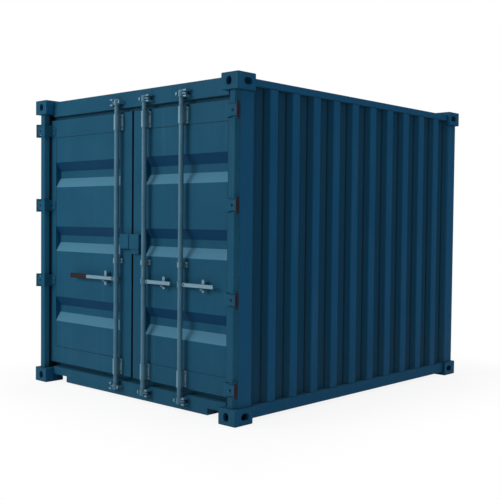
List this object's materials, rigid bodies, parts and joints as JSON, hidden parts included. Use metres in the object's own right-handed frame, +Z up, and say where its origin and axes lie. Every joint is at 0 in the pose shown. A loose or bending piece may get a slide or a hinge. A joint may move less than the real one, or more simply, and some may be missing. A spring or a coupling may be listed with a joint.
{
  "type": "shipping container",
  "caption": "Short steel freight container with corrugated sides, corner castings, a timber floor and double end doors closed by cam rods with lift-out handles",
  "frame": {"origin": "the middle of the footprint at ground level, under the four bottom castings", "axes": "X runs across the container and +X is the right side seen from in front of the doors; Y runs along it, and the doors are at the -Y end; +Z is up"},
  "size_m": [2.438, 2.991, 2.438],
  "materials": {
    "blue_paint": "satin teal-blue paint",
    "rod_steel": "pale blue-grey coated steel",
    "seal_rubber": "matte black rubber",
    "grip_plastic": "matte near-black plastic",
    "floor_plywood": "worn brown plywood"
  },
  "bodies": {
    "container": {"top_corner_castings": "blue_paint", "bottom_corner_castings": "blue_paint", "door_post_right": "blue_paint", "door_post_left": "blue_paint", "rear_post_right": "blue_paint", "rear_post_left": "blue_paint", "door_header": "blue_paint", "door_sill": "blue_paint", "rear_top_rail": "blue_paint", "rear_bottom_rail": "blue_paint", "top_side_rail_right": "blue_paint", "top_side_rail_left": "blue_paint", "bottom_side_rail_right": "blue_paint", "bottom_side_rail_left": "blue_paint", "side_wall_right": "blue_paint", "side_wall_left": "blue_paint", "rear_wall": "blue_paint", "roof_panel": "blue_paint", "floor_boards": "floor_plywood", "floor_cross_members": "blue_paint", "hinge_lugs_right": "blue_paint", "hinge_lugs_left": "blue_paint", "cam_keepers_top": "rod_steel", "cam_keepers_bottom": "rod_steel"},
    "right_door": {"right_door_frame": "blue_paint", "right_door_panel": "blue_paint", "right_door_gasket": "seal_rubber", "right_hinge_blades": "blue_paint", "right_rod_guides": "rod_steel", "right_handle_retainers": "rod_steel", "right_lock_box": "blue_paint"},
    "left_door": {"left_door_frame": "blue_paint", "left_door_panel": "blue_paint", "left_door_gasket": "seal_rubber", "left_hinge_blades": "blue_paint", "left_rod_guides": "rod_steel", "left_handle_retainer": "rod_steel", "left_lock_box": "blue_paint"},
    "left_rod": {"left_lock_rod": "rod_steel", "left_cam_toes": "rod_steel"},
    "middle_rod": {"middle_lock_rod": "rod_steel", "middle_cam_toes": "rod_steel"},
    "right_rod": {"right_lock_rod": "rod_steel", "right_cam_toes": "rod_steel"},
    "left_handle": {"left_rod_handle": "rod_steel", "left_handle_grip": "grip_plastic"},
    "middle_handle": {"middle_rod_handle": "rod_steel"},
    "right_handle": {"right_rod_handle": "rod_steel"}
  },
  "joints": [
    {"name": "left_door_hinge", "type": "hinge", "parent": "container", "child": "left_door", "pos_m": [-1.205, -1.4815, 0], "axis": [0, 0, -1], "range_deg": [0, 270]},
    {"name": "right_door_hinge", "type": "hinge", "parent": "container", "child": "right_door", "pos_m": [1.205, -1.4815, 0], "axis": [0, 0, 1], "range_deg": [0, 270]},
    {"name": "left_rod_turn", "type": "hinge", "parent": "left_door", "child": "left_rod", "pos_m": [-0.15001, -1.4475, 0], "axis": [0, 0, -1], "range_deg": [-110, 0]},
    {"name": "middle_rod_turn", "type": "hinge", "parent": "right_door", "child": "middle_rod", "pos_m": [0.186, -1.4475, 0], "axis": [0, 0, 1], "range_deg": [-110, 0]},
    {"name": "right_rod_turn", "type": "hinge", "parent": "right_door", "child": "right_rod", "pos_m": [0.603, -1.4475, 0], "axis": [0, 0, 1], "range_deg": [-110, 0]},
    {"name": "left_handle_lift", "type": "hinge", "parent": "left_rod", "child": "left_handle", "pos_m": [-0.19601, -1.4475, 0.948], "axis": [0, 1, 0], "range_deg": [0, 15]},
    {"name": "middle_handle_lift", "type": "hinge", "parent": "middle_rod", "child": "middle_handle", "pos_m": [0.232, -1.4475, 0.948], "axis": [0, -1, 0], "range_deg": [0, 15]},
    {"name": "right_handle_lift", "type": "hinge", "parent": "right_rod", "child": "right_handle", "pos_m": [0.649, -1.4475, 0.948], "axis": [0, -1, 0], "range_deg": [0, 15]}
  ]
}
